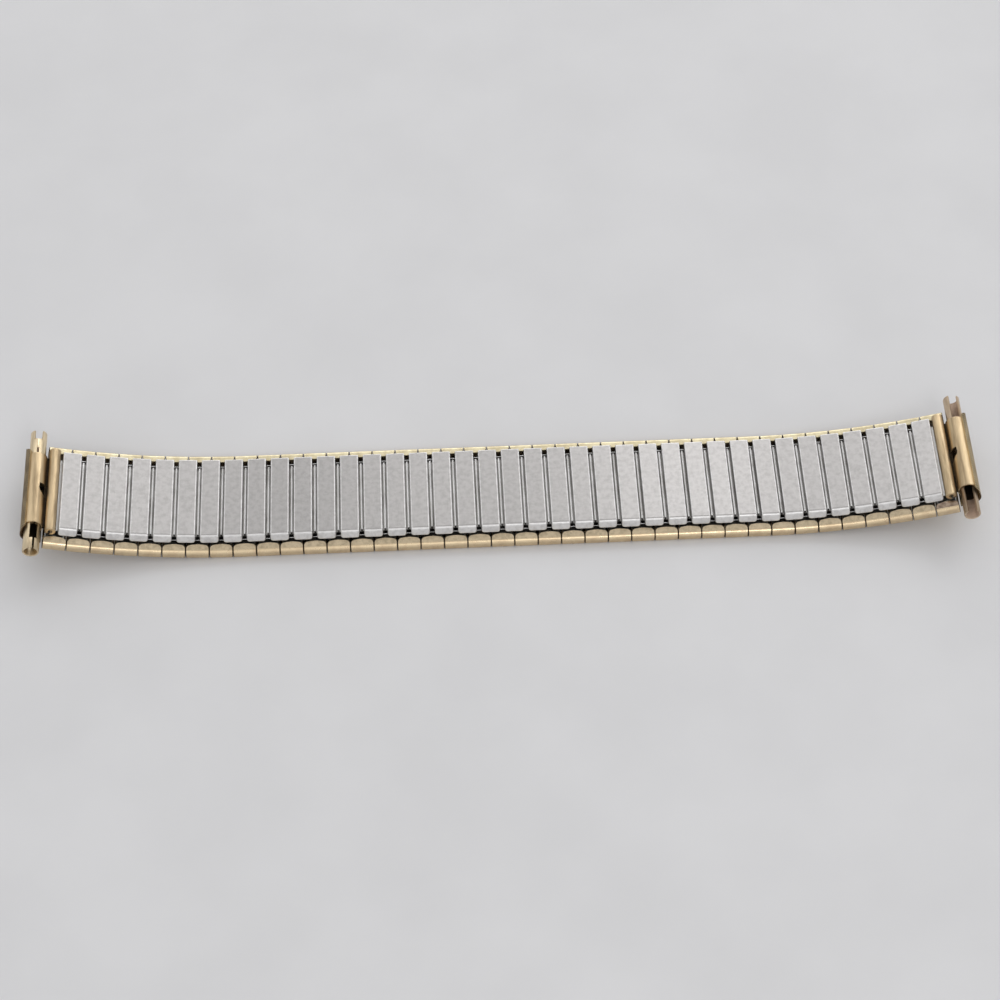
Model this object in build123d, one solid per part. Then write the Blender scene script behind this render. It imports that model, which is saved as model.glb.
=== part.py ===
from build123d import *
import math
import os

# Expansion watch band, closed, gold side down, silver inner side up.
# Millimetres, +X along the band, +Y across it, +Z up from the gold side.
# Both ends curl up a little, as a band does that has been worn.

# Driving sizes
LUG_SPAN = 22.0
LUG_SPAN_CLOSED = 16.0
LINK_PITCH = 3.56
SIDE_PITCHES = 19
FLAT_PITCHES = 11
CURL_STEP_DEG = 1.9
HINGE_PLACES = (2, 5, 8, 11, 14, 17)

# Gold link caps
CAP_GAP = 0.10
CAP_HALF_LENGTH = 9.15
CAP_SHEET = 0.25
CAP_HEIGHT = 1.80
CAP_FLAP_EDGE = 7.85
CAP_BOTTOM_BEND = 0.35
CAP_TOP_BEND = 0.25
CAP_CORNER = 0.40

# Upper sleeves, inside the caps
SLEEVE_HALF_WIDTH = 1.50
SLEEVE_HALF_LENGTH = 6.60
SLEEVE_TOP = 1.75
SLEEVE_SHEET = 0.18
SEAM_HALF = 0.03
RIB_TOP = 2.30
RIB_SHEET = 0.15
FLOOR_HALF_LENGTH = 8.88

# Lower links, the silver inner side
LINK_HALF_WIDTH = 1.36
LINK_BOTTOM = 1.90
LINK_TOP = 3.10
LINK_SHEET = 0.18
LINK_SEAM_HALF = 0.18
LINK_BOX_HALF_LENGTH = 6.60
LINK_FACE_HALF_LENGTH = 7.26
LINK_LIP_HALF_LENGTH = 7.60
LINK_LIP_BOTTOM = 1.92
LINK_EDGE_BEVEL = 0.12
LINK_LOWER_BEVEL = 0.24
LIP_CORNER = 0.35

# Connecting bows of flat wire
BOW_WIDTH = 0.68
BOW_WIRE = 0.30
BOW_WEB_INNER = 6.66
BOW_TIP = 1.50
UPPER_LEG_Z = 1.00
LOWER_LEG_Z = 2.50
UPPER_LEG_X = 0.90
LOWER_LEG_X = 0.79

# Leaf springs, one in each sleeve and each lower link
LEAF_HALF_LENGTH = 5.90
LEAF_SHEET = 0.09
UPPER_LEAF_HALF_WIDTH = 1.10
UPPER_LEAF_Z = 1.42
LOWER_LEAF_HALF_WIDTH = 1.00
LOWER_LEAF_Z = 2.78

# End curls and covers, seen from the end cap's own middle
BAR_X = 0.86
BAR_Z = 2.68
BAR_R = 0.84
BAR_BORE_R = 0.62
BAR_HALF_LENGTH = 7.60
BAR_SLOT_END = 7.04
TUBE_AXIS_X = 3.46
TUBE_AXIS_Z = 1.80
CURL_BORE_R = 1.32
CURL_SHEET = 0.22
CURL_HALF_LENGTH = 6.50
CURL_START_DEG = 32.0
CURL_END_DEG = 322.0
STRAP_LOW = 1.84
STRAP_SHEET = 0.20
STRAP_START = 1.00
STRAP_END = 2.02
COVER_CLEARANCE = 0.02
COVER_HALF_LENGTH = 7.90
COVER_INNER_EDGE = 1.95
COVER_TOP_DEG = 46.0
NOTCH_HALF_LENGTH = 0.95
NOTCH_INNER_X = 1.80
NOTCH_OUTER_X = 2.95
NOTCH_SLANT = 0.55
NOTCH_LOW = 2.10

# Telescoping end tubes and the spring between them
TUBE_R = 1.25
TUBE_BORE_R = 0.95
TUBE_LENGTH = 6.50
WINDOW_START = 6.50
WINDOW_END = 9.20
WINDOW_WIDTH = 1.15
LEFT_SEAM_WIDTH = 0.30
RIGHT_SEAM_WIDTH = 1.26
LEFT_FAR_SEAM_DEG = 85.0
LEFT_NEAR_SEAM_DEG = 106.0
RIGHT_FAR_SEAM_DEG = 70.0
RIGHT_NEAR_SEAM_DEG = 82.0
FORK_DEPTH = 1.70
FORK_WIDTH = 1.15
COIL_R = 1.10
COIL_WIRE = 0.20
COIL_TURNS = 5
COIL_STEPS = 12
COIL_END_GAP = 0.05

# Shapes of the round parts and working margins
BAR_SIDES = 12
CURL_STEP_SIZE_DEG = 17.6
OVER = 1.00

# Derived sizes
QUARTER_PITCH = LINK_PITCH / 4
HALF_PITCH = LINK_PITCH / 2
CAP_HALF_WIDTH = (LINK_PITCH - CAP_GAP) / 2
JOINT_Z = (UPPER_LEG_Z + LOWER_LEG_Z) / 2
BOW_WEB_OUTER = BOW_WEB_INNER + BOW_WIRE
BOW_SHIFT = HALF_PITCH - LOWER_LEG_X - UPPER_LEG_X
BOW_HEIGHT = LOWER_LEG_Z - UPPER_LEG_Z
BOW_TILT_DEG = math.degrees(math.atan2(BOW_SHIFT, BOW_HEIGHT))
SLEEVE_BOTTOM = CAP_SHEET
SLEEVE_FLOOR = SLEEVE_BOTTOM + SLEEVE_SHEET
CURL_OUTER_R = CURL_BORE_R + CURL_SHEET
COVER_INNER_R = CURL_OUTER_R + COVER_CLEARANCE
COVER_OUTER_R = TUBE_AXIS_Z
COVER_SHEET = COVER_OUTER_R - COVER_INNER_R
TUBE_TIP = LUG_SPAN / 2
TUBE_TRAVEL = (LUG_SPAN - LUG_SPAN_CLOSED) / 2
TUBE_INNER_END = TUBE_TIP - TUBE_LENGTH
COIL_END = TUBE_INNER_END - COIL_END_GAP

os.makedirs("parts", exist_ok=True)


def drawn_x(points, half):
    """A solid with these Y, Z corners, drawn to both sides along X."""
    wire = Wire.make_polygon([Vector(-half, y, z) for y, z in points], close=True)
    return Solid.extrude(Face(wire), Vector(half + half, 0, 0))


def drawn_y(points, start, end):
    """A solid with these X, Z corners, drawn from start to end along Y."""
    wire = Wire.make_polygon([Vector(x, start, z) for x, z in points], close=True)
    return Solid.extrude(Face(wire), Vector(0, end - start, 0))


def drawn_z(points, start, end):
    """A solid with these X, Y corners, drawn from start to end along Z."""
    wire = Wire.make_polygon([Vector(x, y, start) for x, y in points], close=True)
    return Solid.extrude(Face(wire), Vector(0, 0, end - start))


def both_x(points):
    """The points and their mirror image across X, as one closed run."""
    return points + [(-x, z) for x, z in reversed(points)]


def mirrored(point_list, sign_x, sign_y):
    """Corner points turned over to the wanted side."""
    return [(x * sign_x, y * sign_y) for x, y in point_list]


def only_solid(shape):
    """The one solid that a boolean result holds."""
    solids = shape.solids()
    if len(solids) != 1:
        raise ValueError("a piece came out as %d solids" % len(solids))
    return solids[0]


def arc(centre_x, centre_z, radius, start_deg, end_deg, steps):
    """Points along an arc in the XZ plane."""
    points = []
    for i in range(steps + 1):
        turn = math.radians(start_deg + (end_deg - start_deg) * i / steps)
        points.append((centre_x + radius * math.cos(turn), centre_z + radius * math.sin(turn)))
    return points


def make_cap():
    """One gold cap: a tray folded up at both ends and crimped inwards."""
    inner = CAP_HALF_LENGTH - CAP_SHEET
    side = [
        (0, 0),
        (CAP_HALF_LENGTH - CAP_BOTTOM_BEND, 0),
        (CAP_HALF_LENGTH, CAP_BOTTOM_BEND),
        (CAP_HALF_LENGTH, CAP_HEIGHT - CAP_TOP_BEND),
        (CAP_HALF_LENGTH - CAP_TOP_BEND, CAP_HEIGHT),
        (CAP_FLAP_EDGE, CAP_HEIGHT),
        (CAP_FLAP_EDGE, CAP_HEIGHT - CAP_SHEET),
        (inner, CAP_HEIGHT - CAP_SHEET),
        (inner, CAP_SHEET),
    ]
    profile = side[1:] + [(-y, z) for y, z in reversed(side[1:])]
    cap = drawn_x(profile, CAP_HALF_WIDTH)
    for sign in (1, -1):
        corner = [
            (CAP_HALF_WIDTH - CAP_CORNER, CAP_FLAP_EDGE),
            (CAP_HALF_WIDTH - CAP_CORNER, CAP_FLAP_EDGE - OVER),
            (CAP_HALF_WIDTH + OVER, CAP_FLAP_EDGE - OVER),
            (CAP_HALF_WIDTH + CAP_CORNER, CAP_FLAP_EDGE + CAP_CORNER + CAP_CORNER),
        ]
        for edge in (1, -1):
            cap = cap - drawn_z(
                mirrored(corner, sign, edge), CAP_HEIGHT - CAP_SHEET - CAP_SHEET, CAP_HEIGHT + OVER
            )
    return only_solid(cap)


def make_sleeve(ribbed):
    """One upper sleeve: a box on a longer floor, its edges stood up in a rib if ribbed."""
    wall = SLEEVE_HALF_WIDTH - SLEEVE_SHEET
    under = SLEEVE_TOP - SLEEVE_SHEET
    seam = [(SEAM_HALF, SLEEVE_TOP)]
    if ribbed:
        seam = [
            (SEAM_HALF + RIB_SHEET, SLEEVE_TOP),
            (SEAM_HALF + RIB_SHEET, RIB_TOP),
            (SEAM_HALF, RIB_TOP),
        ]
    outside = [(SLEEVE_HALF_WIDTH, SLEEVE_BOTTOM), (SLEEVE_HALF_WIDTH, SLEEVE_TOP)]
    inside = [(SEAM_HALF, under), (wall, under), (wall, SLEEVE_FLOOR)]
    box = drawn_y(both_x(outside + seam + inside), -SLEEVE_HALF_LENGTH, SLEEVE_HALF_LENGTH)
    floor = drawn_x(
        [
            (-FLOOR_HALF_LENGTH, SLEEVE_BOTTOM),
            (FLOOR_HALF_LENGTH, SLEEVE_BOTTOM),
            (FLOOR_HALF_LENGTH, SLEEVE_FLOOR),
            (-FLOOR_HALF_LENGTH, SLEEVE_FLOOR),
        ],
        SLEEVE_HALF_WIDTH,
    )
    return only_solid(box + floor)


def make_lower_link():
    """One silver link: a folded box whose top runs on into a lip at both ends."""
    wall = LINK_HALF_WIDTH - LINK_SHEET
    floor_top = LINK_BOTTOM + LINK_SHEET
    under_top = LINK_TOP - LINK_SHEET
    profile = both_x(
        [
            (LINK_HALF_WIDTH, LINK_TOP),
            (LINK_HALF_WIDTH, LINK_BOTTOM + LINK_LOWER_BEVEL),
            (LINK_HALF_WIDTH - LINK_LOWER_BEVEL, LINK_BOTTOM),
            (LINK_SEAM_HALF, LINK_BOTTOM),
            (LINK_SEAM_HALF, floor_top),
            (wall, floor_top),
            (wall, under_top),
        ]
    )
    box = drawn_y(profile, -LINK_BOX_HALF_LENGTH, LINK_BOX_HALF_LENGTH)
    bend = LINK_EDGE_BEVEL
    lip_out = LINK_LIP_HALF_LENGTH - LINK_FACE_HALF_LENGTH
    top = [
        (LINK_FACE_HALF_LENGTH - bend, LINK_TOP),
        (LINK_FACE_HALF_LENGTH, LINK_TOP - bend),
        (LINK_LIP_HALF_LENGTH, LINK_LIP_BOTTOM),
        (LINK_LIP_HALF_LENGTH - LINK_SHEET, LINK_LIP_BOTTOM),
        (LINK_LIP_HALF_LENGTH - LINK_SHEET - lip_out + bend / 2, under_top),
    ]
    plate = drawn_x(top + [(-y, z) for y, z in reversed(top)], LINK_HALF_WIDTH)
    link = box + plate
    reach = LINK_LIP_HALF_LENGTH + OVER
    for sign in (1, -1):
        bevel = [
            (LINK_HALF_WIDTH, LINK_TOP - LINK_EDGE_BEVEL),
            (LINK_HALF_WIDTH + OVER, LINK_TOP - LINK_EDGE_BEVEL - OVER),
            (LINK_HALF_WIDTH + OVER, LINK_TOP + OVER),
            (LINK_HALF_WIDTH - LINK_EDGE_BEVEL - OVER, LINK_TOP + OVER),
        ]
        link = link - drawn_y([(x * sign, z) for x, z in bevel], -reach, reach)
        lip = [
            (LINK_HALF_WIDTH - LIP_CORNER, LINK_LIP_BOTTOM),
            (LINK_HALF_WIDTH - LIP_CORNER, LINK_LIP_BOTTOM - OVER),
            (LINK_HALF_WIDTH + OVER, LINK_LIP_BOTTOM - OVER),
            (LINK_HALF_WIDTH + OVER, LINK_LIP_BOTTOM + LIP_CORNER),
            (LINK_HALF_WIDTH, LINK_LIP_BOTTOM + LIP_CORNER),
        ]
        for edge in (1, -1):
            start = (LINK_FACE_HALF_LENGTH - LINK_SHEET) * edge
            piece = drawn_y([(x * sign, z) for x, z in lip], start, reach * edge)
            link = link - piece
    return only_solid(link)


def make_leaf(half_width, base_z):
    """One leaf spring: a thin strip, nearly flat under its load."""
    points = [
        (-LEAF_HALF_LENGTH, base_z),
        (LEAF_HALF_LENGTH, base_z),
        (LEAF_HALF_LENGTH, base_z + LEAF_SHEET),
        (-LEAF_HALF_LENGTH, base_z + LEAF_SHEET),
    ]
    return drawn_x(points, half_width)


def make_bow(centre_x, tilt_deg, rise):
    """The two bows of one junction, far and near, tilted about their lower row's legs."""
    half = BOW_WIRE / 2
    points = [
        (BOW_TIP, -half),
        (BOW_WEB_OUTER, -half),
        (BOW_WEB_OUTER, rise + half),
        (BOW_TIP, rise + half),
        (BOW_TIP, rise - half),
        (BOW_WEB_INNER, rise - half),
        (BOW_WEB_INNER, half),
        (BOW_TIP, half),
    ]
    far = drawn_x(points, BOW_WIDTH / 2)
    near = drawn_x([(-y, z) for y, z in points], BOW_WIDTH / 2)
    place = Location((centre_x, 0, UPPER_LEG_Z), (0, tilt_deg, 0))
    return [far.moved(place), near.moved(place)]


def make_curl():
    """The end's rolled sheet: hinge curl, strap and telescope curl with its notch."""
    ring = drawn_y(
        arc(BAR_X, BAR_Z, BAR_R, 0, 360, BAR_SIDES)[:-1], -BAR_HALF_LENGTH, BAR_HALF_LENGTH
    )
    reach = BAR_HALF_LENGTH + OVER
    bore = drawn_y(arc(BAR_X, BAR_Z, BAR_BORE_R, 0, 360, BAR_SIDES)[:-1], -reach, reach)
    steps = int(round((CURL_END_DEG - CURL_START_DEG) / CURL_STEP_SIZE_DEG))
    outside = arc(TUBE_AXIS_X, TUBE_AXIS_Z, CURL_OUTER_R, CURL_START_DEG, CURL_END_DEG, steps)
    inside = arc(TUBE_AXIS_X, TUBE_AXIS_Z, CURL_BORE_R, CURL_END_DEG, CURL_START_DEG, steps)
    telescope = drawn_y(outside + inside, -CURL_HALF_LENGTH, CURL_HALF_LENGTH)
    strap = drawn_y(
        [
            (STRAP_START, STRAP_LOW),
            (STRAP_END, STRAP_LOW),
            (STRAP_END, STRAP_LOW + STRAP_SHEET),
            (STRAP_START, STRAP_LOW + STRAP_SHEET),
        ],
        -CURL_HALF_LENGTH,
        CURL_HALF_LENGTH,
    )
    curl = ring + strap + telescope - bore
    for edge in (1, -1):
        slot = drawn_y(
            [
                (BAR_X - OVER, BAR_Z),
                (BAR_X + OVER, BAR_Z),
                (BAR_X + OVER, BAR_Z - OVER),
                (BAR_X - OVER, BAR_Z - OVER),
            ],
            SLEEVE_HALF_LENGTH * edge,
            BAR_SLOT_END * edge,
        )
        curl = curl - slot
    notch = drawn_z(
        [
            (NOTCH_INNER_X, NOTCH_HALF_LENGTH),
            (NOTCH_OUTER_X, NOTCH_HALF_LENGTH),
            (NOTCH_OUTER_X, NOTCH_SLANT - NOTCH_HALF_LENGTH),
            (NOTCH_INNER_X, -NOTCH_HALF_LENGTH - NOTCH_SLANT),
        ],
        NOTCH_LOW,
        NOTCH_LOW + OVER + OVER,
    )
    return only_solid(curl - notch)


def make_cover():
    """The end's gold cover: a plate that wraps up round the outer edge."""
    steps = int(round((COVER_TOP_DEG + 90) / CURL_STEP_SIZE_DEG))
    outside = arc(TUBE_AXIS_X, TUBE_AXIS_Z, COVER_OUTER_R, -90, COVER_TOP_DEG, steps)
    inside = arc(TUBE_AXIS_X, TUBE_AXIS_Z, COVER_INNER_R, COVER_TOP_DEG, -90, steps)
    profile = [(COVER_INNER_EDGE, 0)] + outside + inside + [(COVER_INNER_EDGE, COVER_SHEET)]
    return drawn_y(profile, -COVER_HALF_LENGTH, COVER_HALF_LENGTH)


def make_tube(sign_y, forked, seam_width, seam_deg):
    """One end tube along Y, rolled with an open seam and a notch or a window."""
    axis = Plane(origin=(0, TUBE_INNER_END * sign_y, 0), z_dir=(0, sign_y, 0))
    body = Solid.make_cylinder(TUBE_R, TUBE_LENGTH, axis)
    long_axis = Plane(origin=(0, (TUBE_INNER_END - OVER) * sign_y, 0), z_dir=(0, sign_y, 0))
    body = body - Solid.make_cylinder(TUBE_BORE_R, TUBE_LENGTH + OVER + OVER, long_axis)
    turn = Location((0, 0, 0), (0, 90 - seam_deg, 0))
    seam = drawn_y(
        [
            (-seam_width / 2, 0),
            (seam_width / 2, 0),
            (seam_width / 2, TUBE_R + OVER),
            (-seam_width / 2, TUBE_R + OVER),
        ],
        (TUBE_INNER_END - OVER) * sign_y,
        (TUBE_TIP + OVER) * sign_y,
    )
    # The far tubes have a notch open at the tip, the near tubes a window by the shell.
    if forked:
        opening_half = FORK_WIDTH / 2
        opening_start = TUBE_TIP - FORK_DEPTH
        opening_end = TUBE_TIP + OVER
    else:
        opening_half = WINDOW_WIDTH / 2
        opening_start = WINDOW_START
        opening_end = WINDOW_END
    opening = drawn_y(
        [
            (-opening_half, 0),
            (opening_half, 0),
            (opening_half, TUBE_R + OVER),
            (-opening_half, TUBE_R + OVER),
        ],
        opening_start * sign_y,
        opening_end * sign_y,
    )
    body = body - seam.moved(turn) - opening.moved(turn)
    solids = sorted(body.solids(), key=lambda s: s.volume)
    return solids[-1]


def make_coil():
    """The spring between two tubes: one square wire wound along Y."""
    count = COIL_TURNS * COIL_STEPS
    half = COIL_WIRE / 2
    rings = []
    for i in range(count + 1):
        turn = 2 * math.pi * i / COIL_STEPS
        y = -COIL_END + half + (COIL_END + COIL_END - COIL_WIRE) * i / count
        ring = []
        for radius, shift in ((-half, -half), (half, -half), (half, half), (-half, half)):
            r = COIL_R + radius
            ring.append(Vector(r * math.cos(turn), y + shift, r * math.sin(turn)))
        rings.append(ring)
    faces = []
    for i in range(count):
        for j in range(4):
            a, b = rings[i][j], rings[i][(j + 1) % 4]
            c, d = rings[i + 1][(j + 1) % 4], rings[i + 1][j]
            faces.append(Face(Wire.make_polygon([a, b, c], close=True)))
            faces.append(Face(Wire.make_polygon([a, c, d], close=True)))
    faces.append(Face(Wire.make_polygon(rings[0], close=True)))
    faces.append(Face(Wire.make_polygon(rings[-1], close=True)))
    coil = Solid(Shell(faces))
    if coil.volume < 0:
        coil = Solid(Shell([-f for f in faces]))
    return coil


def half_step(frame, turn_deg):
    """The next link's frame: half a pitch on, bent by turn_deg at the junction."""
    x, z, slope = frame
    before = math.radians(slope)
    after = math.radians(slope + turn_deg)
    x = x + QUARTER_PITCH * math.cos(before) - JOINT_Z * math.sin(before)
    z = z + QUARTER_PITCH * math.sin(before) + JOINT_Z * math.cos(before)
    x = x + QUARTER_PITCH * math.cos(after) + JOINT_Z * math.sin(after)
    z = z + QUARTER_PITCH * math.sin(after) - JOINT_Z * math.cos(after)
    return (x, z, slope + turn_deg)


def place(frame):
    """Where a frame on the right side puts its pieces."""
    return Location((frame[0], 0, frame[1]), (0, -frame[2], 0))


def on_side(shape, frame, side):
    """A piece put in its frame, then turned over to the left if it belongs there."""
    moved = shape.moved(place(frame))
    return moved if side == "right" else moved.mirror(Plane.YZ)


def save(name, solids):
    """Writes one node, a single solid or a group."""
    shape = solids[0] if len(solids) == 1 else Compound(solids)
    export_step(shape, "parts/%s.step" % name)


upper_frames = [(0.0, 0.0, 0.0)]
lower_frames = [None]
for n in range(1, SIDE_PITCHES + 1):
    bend_deg = CURL_STEP_DEG / 2 if n > FLAT_PITCHES else 0.0
    lower_frames.append(half_step(upper_frames[-1], bend_deg))
    upper_frames.append(half_step(lower_frames[-1], bend_deg))

cap = make_cap()
sleeve = make_sleeve(True)
last_sleeve = make_sleeve(False)
lower_link = make_lower_link()
upper_leaf = make_leaf(UPPER_LEAF_HALF_WIDTH, UPPER_LEAF_Z)
lower_leaf = make_leaf(LOWER_LEAF_HALF_WIDTH, LOWER_LEAF_Z)
outer_bows = make_bow(UPPER_LEG_X, BOW_TILT_DEG, BOW_HEIGHT)
inner_bows = make_bow(-UPPER_LEG_X, -BOW_TILT_DEG, BOW_HEIGHT)
end_bows = make_bow(BAR_X, 0, BAR_Z - UPPER_LEG_Z)

save("center_upper_link", [cap, sleeve, upper_leaf])
crossing = []
for side in ("left", "right"):
    for n in range(1, SIDE_PITCHES + 1):
        upper, lower = upper_frames[n], lower_frames[n]
        for bow in outer_bows:
            crossing.append(on_side(bow, upper_frames[n - 1], side))
        own_sleeve = last_sleeve if n == SIDE_PITCHES else sleeve
        inside_pieces = [on_side(p, upper, side) for p in (cap, own_sleeve, upper_leaf)]
        silver_pieces = [on_side(p, lower, side) for p in (lower_link, lower_leaf)]
        inside_pieces += [on_side(p, upper, side) for p in inner_bows]
        if n == SIDE_PITCHES:
            inside_pieces += [on_side(p, upper, side) for p in end_bows]
        if n in HINGE_PLACES:
            save("%s_lower_link_%02d" % (side, n), silver_pieces)
            save("%s_upper_link_%02d" % (side, n), inside_pieces)
        else:
            save("%s_link_pair_%02d" % (side, n), silver_pieces + inside_pieces)
save("connecting_bows", crossing)

curl = make_curl()
cover = make_cover()
coil = make_coil()
tube_place = Location((TUBE_AXIS_X, 0, TUBE_AXIS_Z))
end_frame = upper_frames[SIDE_PITCHES]
tube_seams = (
    ("left", LEFT_SEAM_WIDTH, LEFT_FAR_SEAM_DEG, LEFT_NEAR_SEAM_DEG),
    ("right", RIGHT_SEAM_WIDTH, RIGHT_FAR_SEAM_DEG, RIGHT_NEAR_SEAM_DEG),
)
for side, seam, far_deg, near_deg in tube_seams:
    save("%s_end_housing" % side, [on_side(curl, end_frame, side), on_side(cover, end_frame, side)])
    far_tube = make_tube(1, True, seam, far_deg).moved(tube_place)
    near_tube = make_tube(-1, False, seam, near_deg).moved(tube_place)
    save("%s_far_tube" % side, [on_side(far_tube, end_frame, side)])
    save("%s_near_tube" % side, [on_side(near_tube, end_frame, side)])
    save("%s_end_spring" % side, [on_side(coil.moved(tube_place), end_frame, side)])

print("least gap between coil turns", (COIL_END + COIL_END) / COIL_TURNS - COIL_WIRE)
for n in (0, FLAT_PITCHES, SIDE_PITCHES):
    print("frame", n, [round(v, 3) for v in upper_frames[n]])
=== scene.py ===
import math

import bmesh
import bpy
from mathutils import Matrix, Vector


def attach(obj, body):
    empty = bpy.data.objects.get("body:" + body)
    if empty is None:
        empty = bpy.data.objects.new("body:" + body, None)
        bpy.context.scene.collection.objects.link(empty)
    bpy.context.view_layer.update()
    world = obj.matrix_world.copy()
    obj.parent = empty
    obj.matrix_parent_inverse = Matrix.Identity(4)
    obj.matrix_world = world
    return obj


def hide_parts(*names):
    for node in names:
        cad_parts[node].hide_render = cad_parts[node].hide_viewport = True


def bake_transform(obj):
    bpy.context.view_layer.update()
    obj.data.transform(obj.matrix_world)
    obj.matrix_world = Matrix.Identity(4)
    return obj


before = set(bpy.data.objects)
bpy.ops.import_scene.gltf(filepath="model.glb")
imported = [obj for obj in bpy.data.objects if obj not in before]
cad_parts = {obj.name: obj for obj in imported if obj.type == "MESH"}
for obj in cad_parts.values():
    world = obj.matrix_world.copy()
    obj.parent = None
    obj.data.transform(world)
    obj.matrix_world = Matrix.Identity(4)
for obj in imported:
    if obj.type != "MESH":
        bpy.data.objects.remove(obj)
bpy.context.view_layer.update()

# The watch band lies gold side down on a pale table and is seen from its near side,
# about 54 degrees above the table, through a long lens.
# The same long lens keeps both ends nearly the same size.
LENS_LENGTH = 91.478
LENS_SENSOR = 36
VIEW_TURN_DEG = -2.3318
VIEW_RISE_DEG = 53.903
VIEW_ROLL_DEG = -0.3633
VIEW_DISTANCE = 0.39206
AIM_X, AIM_Y = -0.0000731, -0.0001692
lens = bpy.data.cameras.new("band_camera")
lens.lens = LENS_LENGTH
lens.sensor_width = LENS_SENSOR
lens.clip_start = 0.01
lens.clip_end = 20
camera = bpy.data.objects.new("band_camera", lens)
bpy.context.scene.collection.objects.link(camera)
view_angles = (VIEW_TURN_DEG, VIEW_RISE_DEG, VIEW_ROLL_DEG)
azimuth, elevation, roll = (math.radians(v) for v in view_angles)
back = Vector(
    (
        math.sin(azimuth) * math.cos(elevation),
        -math.cos(azimuth) * math.cos(elevation),
        math.sin(elevation),
    )
)
level_right = (-back).cross(Vector((0, 0, 1))).normalized()
level_up = level_right.cross(-back)
right = level_right * math.cos(roll) + level_up * math.sin(roll)
up = level_up * math.cos(roll) - level_right * math.sin(roll)
turned = Matrix((right, up, back)).transposed().to_4x4()
aim = Vector((AIM_X, AIM_Y, 0))
camera.matrix_world = Matrix.Translation(aim + back * VIEW_DISTANCE) @ turned
bpy.context.scene.camera = camera

# The run of the links. Each side has nineteen pitches from the middle link outwards.
# Links alternate between the lower row with the gold caps and the silver row on top,
# half a pitch apart, and the outer eight pitches curl up off the table.
MM = 0.001
PITCH = 3.56
SIDE_LINKS = 19
FLAT_LINKS = 11
CURL_DEG = 1.9
TURN_HEIGHT = 1.75
WRAP_LINKS = (2, 5, 8, 11, 14, 17)


def half_pitch_on(seat, turn):
    """The seat half a pitch further out, on the curl's circle where it turns."""
    x, z, slope = seat
    for angle, lean in ((slope, -1), (slope + turn, 1)):
        a = math.radians(angle)
        x += PITCH / 4 * math.cos(a) + lean * TURN_HEIGHT * math.sin(a)
        z += PITCH / 4 * math.sin(a) - lean * TURN_HEIGHT * math.cos(a)
    return (x, z, slope + turn)


gold_seats = [(0.0, 0.0, 0.0)]
silver_seats = [None]
for n in range(1, SIDE_LINKS + 1):
    turn = CURL_DEG / 2 if n > FLAT_LINKS else 0.0
    silver_seats.append(half_pitch_on(gold_seats[-1], turn))
    gold_seats.append(half_pitch_on(silver_seats[-1], turn))


def gold_places(side):
    """The number and the name ending of each gold link on this side of the band."""
    if side == "right":
        yield 0, "middle"
    for n in range(1, SIDE_LINKS + 1):
        yield n, "%s_%02d" % (side, n)


def seat_matrix(seat, side):
    """Where this seat is and how it leans; the left side mirrors the right."""
    x, z, slope = seat
    lean = Matrix.Rotation(-math.radians(slope), 4, "Y")
    put = Matrix.Translation((x * MM, 0, z * MM)) @ lean
    return put if side == "right" else Matrix.Diagonal((-1, 1, 1, 1)) @ put


def seated(pattern, name, seat, side):
    """A copy of a pattern piece, put on its seat in the band."""
    mesh = pattern.copy()
    mesh.name = name
    mesh.transform(seat_matrix(seat, side))
    if side == "left":
        mesh.flip_normals()
    piece = bpy.data.objects.new(name, mesh)
    bpy.context.scene.collection.objects.link(piece)
    return piece


def pair_body(side, n):
    """The body that carries gold link n."""
    if n == 0:
        return "center_link"
    kind = "upper_link" if n in WRAP_LINKS else "link_pair"
    return "%s_%s_%02d" % (side, kind, n)


def pair_node(side, n):
    """The node that holds the solids of gold link n."""
    return "center_upper_link" if n == 0 else pair_body(side, n)


def silver_node(side, n):
    """The node, and the body of the same name, that holds silver link n."""
    kind = "lower_link" if n in WRAP_LINKS else "link_pair"
    return "%s_%s_%02d" % (side, kind, n)


# Gold caps, one on every link of the lower row. Each is pressed from thin sheet: a plain
# tray whose two ends fold up and in over the link, with rounded shoulders on the folded
# flap. Champagne gold plate on brass, rubbed satin. The near flaps are rougher, and their
# gold is darker and more olive as painted shade. The far flaps get a paler gold as a
# painted highlight, and the cut sides a nearly black gold as painted shade in the joints.
CAP_SHEET = 0.25
CAP_EDGE = 0.08
CAP_END = 9.15
CAP_TOP = 1.80
CAP_NEAR_BEND = 1.60
CAP_FAR_FLAP = 7.85
CAP_NEAR_FLAP = 7.68
CAP_HALF = 1.75
CAP_BENDS = (0.32, 0.34, 0.34, 0.62)
FLAP_SHOULDER = 0.62
FLAP_CROWN = 0.14
FLAP_CROWN_HALF = 0.3
FLAP_MARKS = (0.015, 0.04, 0.08, 0.14, 0.17, 0.22, 0.3, 0.42, 0.58, 0.76)
BEND_LEAD = 0.05
BEND_STEP_DEG = 16
BEND_LEAST_STEPS = 3
SHARP_DEG = 29
TIP_THINNING_SHARE = 0.6
EDGE_MOST_SHARE = 0.8
ROUND_MOST_SHARE = 0.4
ROUND_STEPS = 4
ROUND_STEP_GAP = 0.002


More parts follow.
